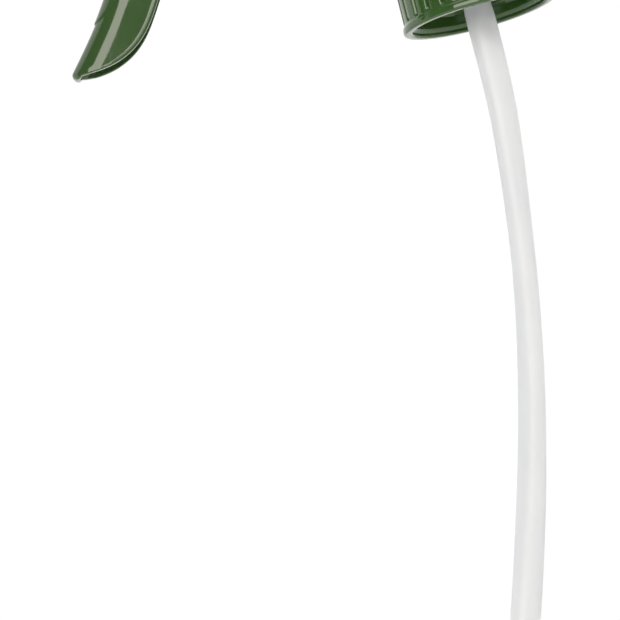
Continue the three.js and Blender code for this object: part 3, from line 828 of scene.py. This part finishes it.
def shroud_side():
    """The outline from the side, from under the nose over the top and down round the neck."""
    outline = [(-79, 45), (-82, 50), (-82, 58)]
    curve_to(outline, (-81, 63), (-74, 63.6))
    curve_to(outline, (-40, 67), (-6, 67.5))
    curve_to(outline, (22, 67), (27, 58))
    curve_to(outline, (31, 50), (29, 45))
    curve_to(outline, (26, 41), (19, 39))
    curve_to(outline, (13, 34), (13, 24))
    outline += [(13.4, 7), (-13.4, 7), (-18, 9.4), (-47, 9.4), (-47, 30)]
    curve_to(outline, (-47.5, 38), (-54, 40.5))
    return outline


def shroud_front():
    """The outline from the front: straight sides and a crowned top. Half is drawn, then mirrored."""
    crown = bezier([(SHROUD_HALF, 52), (SHROUD_HALF, 63), (SHROUD_HALF - 4, 67.5), (0, 68)], 16)
    right = [(SHROUD_HALF, 0), (SHROUD_HALF, 52)] + [tuple(p) for p in crown]
    return right + [(-y, z) for y, z in right[-2::-1]]


def shroud_plan():
    """The outline from above: a rounded back, and sides that draw in towards the nose."""
    back = bezier([(12, SHROUD_HALF), (24, SHROUD_HALF), (30.2, SHROUD_HALF - 5), (30.2, 0)], 16)
    side = [(-86, SHROUD_NOSE), (-48, SHROUD_NOSE + (SHROUD_HALF - SHROUD_NOSE) * 38 / 56)]
    curve_to(side, (-30, SHROUD_HALF), (-6, SHROUD_HALF))
    side += [(12, SHROUD_HALF)] + [tuple(p) for p in back]
    return side + [(x, -y) for x, y in side[-2::-1]]


def shroud_block(name, inset):
    """The solid that the three outlines share, drawn in by an inset."""
    solid = prism(name, drawn_in(shroud_side(), inset), "Y", -30, 30)
    front = prism("front", drawn_in(shroud_front(), inset), "X", -130, 130)
    plan = prism("plan", drawn_in(shroud_plan(), inset), "Z", -20, 100)
    return combined(solid, [front, plan], "INTERSECT")


def press_line(shell):
    """Presses the moulded line into the outside of the shroud, level with the bottom of the nose."""
    front, back = SHROUD_LOW.x + 12, SHROUD_HIGH.x - 18
    near = [vertex for vertex in shell.data.vertices if abs(vertex.co.z / MM - LINE_HEIGHT) < LINE_HALF]
    normals = [vertex.normal.copy() for vertex in near]
    for vertex, normal in zip(near, normals):
        place = vertex.co / MM
        spine = Vector((min(max(place.x, front), back), 0, place.z))
        if (place - spine).dot(normal) > 0 and abs(normal.z) < 0.5:
            share = (place.z - LINE_HEIGHT) / LINE_HALF
            vertex.co -= normal * LINE_DEPTH * MM * (1 - share ** 2)


def make_shroud():
    gap = SHROUD_HALF - SHROUD_WALL
    nose = SHROUD_NOSE - SHROUD_WALL
    shell = shroud_block("shroud_moulding", 0)
    cuts = [
        shroud_block("hollow", SHROUD_WALL),
        prism("nose_opening", [(-79.4, 44), (-80, 48), (-52, 44), (-48, 34), (-54, 30)], "Y", -nose, nose),
        block("bay_front", (-60, 0.6 - gap, 8), (-44.5, gap - 0.6, 40)),
        block("bay_bottom", (-50, -gap, 5), (-9, gap, 12)),
        rod("neck_bottom", 11, 4, 12, 96),
        along_nozzle(rod("barrel_hole", 8.0, 78, 90, 96), BARREL_Z),
    ]
    combined(shell, cuts, "DIFFERENCE")
    moulded(shell, SHROUD_GRID, SHROUD_SOFTENING)
    press_line(shell)
    return finished(shell, GREEN, "head", ["shroud"], 60)


# ---------- nozzle cap and what it covers ----------

CAP_RADIUS = 9.0
CAP_FLUTES = 8
ORIFICE = 0.5


def cap_radius(height, low, high, angle):
    """Outer radius of the cap: rounded ends, and broad finger flutes between them."""
    turn = abs(angle * CAP_FLUTES / TURN % 1.0 - 0.5) * 2
    flute = 0.85 * (1 - smooth_step(0.15, 0.75, turn))
    fade = smooth_step(low + 0.9, low + 2.4, height)
    back_round = 0.6 * (1 - smooth_step(low, low + 0.6, height)) ** 2
    front_round = 1.6 * (1 - math.sqrt(max(1 - (max(height - (high - 1.6), 0) / 1.6) ** 2, 0)))
    return CAP_RADIUS - 0.4 * (height - low) / (high - low) - back_round - front_round - flute * fade


def make_nozzle_cap():
    back, front = -CAP_HIGH.x, -CAP_LOW.x
    heights = [back + (front - back) * (1 - math.cos(math.pi * k / 46)) / 2 for k in range(47)]
    segments = CAP_FLUTES * 26
    dish = front - 0.9
    rings = []
    for i in range(segments):
        angle = TURN * i / segments
        profile = [(max(cap_radius(z, back, front, angle), 6.4), z) for z in heights]
        profile += [(3.6, front), (3.2, front - 0.1), (2.3, front - 0.8), (2.1, dish)]
        profile += [(ORIFICE + 0.12, dish), (ORIFICE, dish - 0.1)]
        profile += [(ORIFICE, front - 4.2), (5.2, front - 4.2), (5.4, front - 4.0)]
        profile += [(5.4, back + 3.0), (5.05, back + 2.6), (5.05, back + 0.3), (5.3, back)]
        rings.append([(r * math.cos(angle), r * math.sin(angle), z) for r, z in profile])
    obj = along_nozzle(loop_grid("nozzle_cap_moulding", rings, False), BARREL_Z)
    return finished(obj, GREEN, "nozzle_cap", ["nozzle_cap"], 50)


NOZZLE_FLANGE = 80.0


def make_nozzle_base():
    """The piece that holds the discharge spring, with the flange and groove that the cap turns on."""
    flange = NOZZLE_FLANGE
    base = turned("nozzle_base_tube", [
        (1.7, 64), (3.55, 64), (3.55, 70.3), (5.6, 70.3), (5.6, flange - 2), (6.4, flange - 2), (6.4, flange),
        (4.9, flange), (4.9, flange + 6), (4.2, flange + 6), (4.2, flange + 8), (5.2, flange + 8),
        (5.2, flange + 11.4), (2.6, flange + 11.4), (2.6, flange + 9), (1.7, flange + 9),
    ], 0.25)
    along_nozzle(base, BARREL_Z)
    return finished(base, NATURAL, "head", ["nozzle_base"])


def make_spinner():
    """A small disc with three slots that make the liquid spin."""
    pin = turned("spinner_pin", [(0, 89.3), (2.3, 89.3), (2.3, 92.3), (0, 92.3)], 0.25)
    slots = []
    for turn in range(3):
        slot = block("slot", (0.4, -0.45, 89.0), (3.0, 0.45, 91.8))
        slots.append(moved(slot, Matrix.Rotation(TURN * turn / 3, 4, "Z")))
    combined(pin, slots, "DIFFERENCE")
    along_nozzle(pin, BARREL_Z)
    return finished(pin, NATURAL, "head", ["spinner"])


# ---------- pump body ----------

STEM_RADIUS = 9.2
STEM_LOW = 5.6
STEM_TOP = 40.0
STEM_BORE = 6.9
STEM_FLOOR = 16.0
PUMP_BACK = 15.0
PUMP_BORE = 7.5
PUMP_OUTER = 9.4
PUMP_MOUTH = 44.0
BARREL_OUTER = 5.6
BARREL_BORE = 3.6
BARREL_FRONT = 70.0
BARREL_BACK = -14.0
VALVE_SEAT = 56.0
DUCT = 1.8
LUG_RADIUS = 3.6


def hinge_lug():
    """The lug under the barrel, rounded about the trigger's pin."""
    outline = [(PIVOT.x - 5.5, BARREL_Z - 2), (PIVOT.x - LUG_RADIUS, PIVOT.z)]
    for k in range(1, 25):
        angle = math.pi + math.pi * k / 24
        outline.append((PIVOT.x + LUG_RADIUS * math.cos(angle), PIVOT.z + LUG_RADIUS * math.sin(angle)))
    return outline + [(PIVOT.x + 8, BARREL_Z - 2)]


def make_pump_body():
    stem = [(0, STEM_LOW), (STEM_RADIUS, STEM_LOW), (STEM_RADIUS, STEM_TOP), (0, STEM_TOP)]
    body = turned("pump_body_moulding", stem, 0.4)
    collar = PUMP_MOUTH - 2.2
    cylinder = [
        (0, 8), (PUMP_OUTER, 8), (PUMP_OUTER, collar), (PUMP_OUTER + 0.3, collar),
        (PUMP_OUTER + 0.3, PUMP_MOUTH), (0, PUMP_MOUTH),
    ]
    barrel = [(0, BARREL_BACK), (BARREL_OUTER, BARREL_BACK), (BARREL_OUTER, BARREL_FRONT), (0, BARREL_FRONT)]
    joins = [
        along_nozzle(turned("cylinder", cylinder, 0.25), PUMP_Z),
        along_nozzle(turned("barrel", barrel, 0.3), BARREL_Z),
        prism("web", [(-40, 26), (-40, 36), (-50, 50), (12, 50), (8, 36), (8, 26)], "Y", -1.2, 1.2),
        block("riser", (-6, -4.5, 36), (9, 4.5, BARREL_Z)),
        prism("lug", hinge_lug(), "Y", -4.5, 4.5),
    ]
    cuts = [
        rod("stem_bore", STEM_BORE, STEM_LOW - 1, STEM_FLOOR, FINE),
        along_nozzle(rod("pump_bore", PUMP_BORE, PUMP_BACK, PUMP_MOUTH + 1, FINE), PUMP_Z),
        rod("supply", DUCT, STEM_FLOOR - 1, BARREL_Z),
        along_nozzle(rod("feed", DUCT, -2, PUMP_BACK + 1), PUMP_Z),
        along_nozzle(rod("barrel_bore", BARREL_BORE, VALVE_SEAT, BARREL_FRONT + 1), BARREL_Z),
        along_nozzle(rod("duct", DUCT, -3, VALVE_SEAT + 1), BARREL_Z),
        along_nozzle(rod("rear_bore", BARREL_BORE, BARREL_BACK - 1, -3), BARREL_Z),
        across(rod("hinge_hole", TRIGGER_PIN_RADIUS + 0.05, -8, 8), PIVOT.x, PIVOT.z),
        moved(rod("vent", 0.8, 10, 20), Matrix.Translation((-37 * MM, 0, 0))),
    ]
    combined(body, joins, "UNION")
    combined(body, cuts, "DIFFERENCE")
    return finished(body, NATURAL, "head", ["pump_body"], 40)


def make_barrel_plug():
    skirt = BARREL_BORE - 0.06
    plug = turned("barrel_plug_moulding", [
        (0, -15.8), (4.8, -15.8), (5.2, -15.4), (5.2, -14.3), (skirt, -14.3), (skirt, -6),
        (2.4, -6), (2.4, -12), (0, -12),
    ], 0.3)
    along_nozzle(plug, BARREL_Z)
    return finished(plug, NATURAL, "head", ["barrel_plug"])


# ---------- piston group ----------

PISTON_FRONT = 41.0  # how far in front of the neck axis its two ends are
PISTON_BACK = 27.0
PISTON_RADIUS = 6.9
SEAL_GROOVES = (29.2, 37.4)
GROOVE_WIDTH = 2.2
GROOVE_DEPTH = 1.0
ROD_RADIUS = 3.4
EYE_RADIUS = 3.7
EYE_HALF = 2.8
SLOT_RADIUS = 1.5  # the slot that the drive pin slides in, and how far it runs below and above the pin
SLOT_BELOW = 0.6
SLOT_ABOVE = 0.4


def piston_profile():
    profile = [(0, PISTON_BACK), (PISTON_RADIUS, PISTON_BACK)]
    floor = PISTON_RADIUS - GROOVE_DEPTH
    for start in SEAL_GROOVES:
        end = start + GROOVE_WIDTH
        profile += [(PISTON_RADIUS, start), (floor, start), (floor, end), (PISTON_RADIUS, end)]
    profile += [(PISTON_RADIUS, PISTON_FRONT - 0.4), (PISTON_RADIUS - 0.3, PISTON_FRONT), (0, PISTON_FRONT)]
    return profile


def make_piston():
    head = along_nozzle(turned("piston_moulding", piston_profile(), 0.15), PUMP_Z)
    pin_low, pin_high = span("drive_pin")
    pin = (pin_low + pin_high) / 2
    root, reach = PISTON_FRONT - 1, -pin.x - 2
    rod_profile = [(0, root), (ROD_RADIUS, root), (ROD_RADIUS, reach), (0, reach)]
    joins = [
        along_nozzle(turned("rod", rod_profile, 0.1), PUMP_Z),
        across(rod("eye", EYE_RADIUS, -EYE_HALF, EYE_HALF), pin.x, pin.z),
        block("eye_root", (pin.x - 3.6, -EYE_HALF, pin.z - 3.2), (pin.x + 5, EYE_HALF, pin.z + 3.2)),
    ]
    low, high = pin.z - SLOT_BELOW, pin.z + SLOT_ABOVE
    cuts = [
        along_nozzle(rod("spring_pocket", 5.0, PISTON_BACK - 1, PISTON_BACK + 7), PUMP_Z),
        across(rod("slot_low", SLOT_RADIUS, -5, 5), pin.x, low),
        across(rod("slot_high", SLOT_RADIUS, -5, 5), pin.x, high),
        block("slot_middle", (pin.x - SLOT_RADIUS, -5, low), (pin.x + SLOT_RADIUS, 5, high)),
    ]
    combined(head, joins, "UNION")
    combined(head, cuts, "DIFFERENCE")
    return finished(head, NATURAL, "piston", ["piston"])


def make_seals():
    """Each ring lies in the middle of its groove."""
    for node, start in zip(("piston_seal", "wiper_seal"), SEAL_GROOVES):
        ring = along_nozzle(torus(node + "_ring", 6.7, 1.5, start + GROOVE_WIDTH / 2), PUMP_Z)
        finished(ring, RUBBER, "piston", [node])
    cap_ring = along_nozzle(torus("nozzle_seal_ring", 4.78, 1.0, NOZZLE_FLANGE + 7), BARREL_Z)
    finished(cap_ring, RUBBER, "head", ["nozzle_seal"])
    stem_ring = torus("retainer_o_ring_ring", 6.2, 1.1, HUB_GROOVE + 1)
    finished(stem_ring, RUBBER, "head", ["retainer_o_ring"])


def make_pin(node, body, radius):
    """A hinge pin with rounded ends."""
    low, high = span(node)
    middle = (low + high) / 2
    half = high.y
    pin = turned(node + "_wire", [(0, -half), (radius, -half), (radius, half), (0, half)], 0.35)
    across(pin, middle.x, middle.z)
    return finished(pin, WIRE, body, [node])


END_TURNS = 0.75  # closed turns at each end of a spring


def spring_height(turn, turns, wire, low, high):
    """Height of the wire's middle: closed turns at both ends, an even helix between."""
    end_pitch = wire * 1.05
    rise = high - low - wire - 2 * end_pitch * END_TURNS
    middle = min(max((turn - END_TURNS) / (turns - 2 * END_TURNS), 0), 1)
    low_turns = end_pitch * min(turn, END_TURNS)
    high_turns = end_pitch * max(0, turn - (turns - END_TURNS))
    return low + wire / 2 + low_turns + rise * middle + high_turns


def coil(name, radius, wire, low, high, turns):
    """A round wire wound about +Z between two heights."""
    rings = []
    steps = int(turns * 36)
    for i in range(steps + 1):
        turn = turns * i / steps
        angle = TURN * turn
        height = spring_height(turn, turns, wire, low, high)
        ring = []
        for k in range(12):
            around = TURN * k / 12
            reach = radius + wire / 2 * math.cos(around)
            rise = wire / 2 * math.sin(around)
            ring.append((reach * math.cos(angle), reach * math.sin(angle), height + rise))
        rings.append(ring)
    return loop_grid(name, rings, True)


def make_springs():
    back = along_nozzle(coil("return_spring_wire", 4.1, 0.9, 16.4, 33.8, 6.5), PUMP_Z)
    finished(back, WIRE, "head", ["return_spring"])
    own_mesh(back)
    front = along_nozzle(coil("discharge_spring_wire", 1.9, 0.5, 57.7, 63.9, 5.5), BARREL_Z)
    finished(front, WIRE, "head", ["discharge_spring"])
    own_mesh(front)


def make_spring_seat():
    """The washer that the return spring stands on."""
    seat = turned("spring_seat_washer", [(2.2, 15.3), (7.2, 15.3), (7.2, 16.3), (2.2, 16.3)], 0.2)
    along_nozzle(seat, PUMP_Z)
    return finished(seat, NATURAL, "head", ["spring_seat"])


def make_discharge_valve():
    valve = turned("discharge_valve_poppet", [
        (0, 56.3), (2.7, 56.3), (2.7, 57.6), (1.0, 57.6), (1.0, 59.6), (0, 59.6),
    ], 0.2)
    along_nozzle(valve, BARREL_Z)
    return finished(valve, NATURAL, "discharge_valve", ["discharge_valve"])


# ---------- neck insert ----------

HUB_GROOVE = 10.2  # the bottom of the o-ring's groove, which is 2 wide


def make_tube_retainer():
    """The tube's socket, the flange that holds the closure, the hub and its groove, and the ball's seat."""
    socket = TUBE_RADIUS + 0.02
    retainer = turned("tube_retainer_moulding", [
        (socket, -9), (5.2, -9), (5.2, 1.8), (12.9, 1.8), (12.9, 3.2), (6.6, 3.2), (6.6, HUB_GROOVE),
        (5.6, HUB_GROOVE), (5.6, HUB_GROOVE + 2), (6.6, HUB_GROOVE + 2), (6.6, 14.4), (6.0, 15),
        (3.0, 15), (3.0, 5.4), (1.5, 3.4), (1.5, 1.7), (socket, 1.7),
    ], 0.3)
    return finished(retainer, NATURAL, "head", ["tube_retainer"])


def make_gasket():
    gasket = turned("bottle_gasket_ring", [(6.6, 0), (13.2, 0), (13.2, 1.5), (6.6, 1.5)], 0.15, 128)
    return finished(gasket, FOAM, "head", ["bottle_gasket"])


def make_ball_and_cage():
    low, high = span("intake_ball")
    radius = (high.z - low.z) / 2
    centre = (high.z + low.z) / 2
    angles = [math.pi * k / 32 for k in range(1, 32)]
    arc = [(radius * math.sin(angle), centre - radius * math.cos(angle)) for angle in angles]
    arc = [(0, low.z)] + arc + [(0, high.z)]
    ball = turned("intake_ball_sphere", arc, 0, 64)
    finished(ball, BALL_STEEL, "intake_ball", ["intake_ball"])
    bottom, top = span("ball_cage")
    outer = top.x
    cage = turned("ball_cage_ring", [(1.2, bottom.z), (outer, bottom.z), (outer, top.z), (1.2, top.z)], 0.2)
    slots = []
    for turn in range(3):
        slot = block("slot", (-4, -0.5, bottom.z - 1), (4, 0.5, bottom.z + 1))
        slots.append(moved(slot, Matrix.Rotation(math.pi * turn / 3, 4, "Z")))
    combined(cage, slots, "DIFFERENCE")
    finished(cage, NATURAL, "head", ["ball_cage"])


make_closure()
make_dip_tube()
make_trigger()
make_shroud()
make_nozzle_cap()
make_nozzle_base()
make_spinner()
make_pump_body()
make_barrel_plug()
make_piston()
make_seals()
make_pin("trigger_pin", "head", TRIGGER_PIN_RADIUS)
make_pin("drive_pin", "trigger", DRIVE_PIN_RADIUS)
make_springs()
make_spring_seat()
make_discharge_valve()
make_tube_retainer()
make_gasket()
make_ball_and_cage()


# ---------- light, floor and background ----------

SWEEP_LIGHT = 1.1
ROOM_LIGHT = 0.14
FLOOR_RADIUS = 0.8
LAMP_TINT = (1.04, 0.97, 0.91)  # a little warmer than the sweep


def softbox(name, azimuth, elevation, distance, size, radiance, target=(-0.04, 0, -0.02)):
    """A rectangular lamp that faces the sprayer, seen from it in the given direction, in degrees."""
    data = bpy.data.lights.new(name, "AREA")
    data.shape = "RECTANGLE"
    data.size, data.size_y = size
    data.energy = radiance * math.pi * size[0] * size[1]
    data.color = LAMP_TINT
    lamp = bpy.data.objects.new(name, data)
    lamp.visible_camera = False
    bpy.context.scene.collection.objects.link(lamp)
    across_angle, up_angle = math.radians(azimuth), math.radians(elevation)
    flat = math.cos(up_angle)
    away = Vector((flat * math.cos(across_angle), flat * math.sin(across_angle), math.sin(up_angle)))
    aim = (-away).to_track_quat("-Z", "Y").to_matrix()
    lamp.matrix_world = Matrix.Translation(Vector(target) + away * distance) @ aim.to_4x4()
    return lamp


def make_world():
    """White to the camera. To all else, a bright sweep behind the sprayer and a dark room in front of it."""
    world = bpy.data.worlds.new("studio")
    bpy.context.scene.world = world
    world.use_nodes = True
    nodes, links = world.node_tree.nodes, world.node_tree.links
    place = nodes.new("ShaderNodeTexCoord")
    parts = nodes.new("ShaderNodeSeparateXYZ")
    links.new(place.outputs["Generated"], parts.inputs["Vector"])
    sweep = nodes.new("ShaderNodeMapRange")
    sweep.interpolation_type = "SMOOTHSTEP"
    sweep.inputs["From Min"].default_value = -0.10
    sweep.inputs["From Max"].default_value = 0.06
    sweep.inputs["To Min"].default_value = ROOM_LIGHT
    sweep.inputs["To Max"].default_value = SWEEP_LIGHT
    links.new(parts.outputs["Y"], sweep.inputs["Value"])
    surround = nodes["Background"]
    surround.inputs["Color"].default_value = (1, 0.99, 0.98, 1)
    links.new(sweep.outputs["Result"], surround.inputs["Strength"])
    white = nodes.new("ShaderNodeBackground")
    white.inputs["Color"].default_value = (1, 1, 1, 1)
    white.inputs["Strength"].default_value = 1.02
    path = nodes.new("ShaderNodeLightPath")
    mix = nodes.new("ShaderNodeMixShader")
    links.new(path.outputs["Is Camera Ray"], mix.inputs["Fac"])
    links.new(surround.outputs["Background"], mix.inputs[1])
    links.new(white.outputs["Background"], mix.inputs[2])
    links.new(mix.outputs["Shader"], nodes["World Output"].inputs["Surface"])


def make_floor():
    depth = cad_bounds[0].z - 0.004
    angles = [TURN * i / 96 for i in range(96)]
    rim = [(FLOOR_RADIUS * math.cos(angle), FLOOR_RADIUS * math.sin(angle), depth) for angle in angles]
    mesh = bpy.data.meshes.new("floor")
    mesh.from_pydata(rim, [], [tuple(range(96))])
    mesh.materials.append(pale_floor())
    floor = bpy.data.objects.new("floor", mesh)
    bpy.context.scene.collection.objects.link(floor)


def make_lights():
    softbox("front_left", -112, 14, 0.75, (0.52, 0.42), 4.6)
    softbox("front_right", -76, 26, 0.80, (0.40, 0.30), 4.0)
    softbox("right", -20, 10, 1.0, (0.6, 0.9), 1.2)
    softbox("top", -90, 82, 1.0, (0.9, 0.5), 1.4)


make_world()
make_floor()
make_lights()
bpy.context.scene.view_settings.view_transform = "Standard"
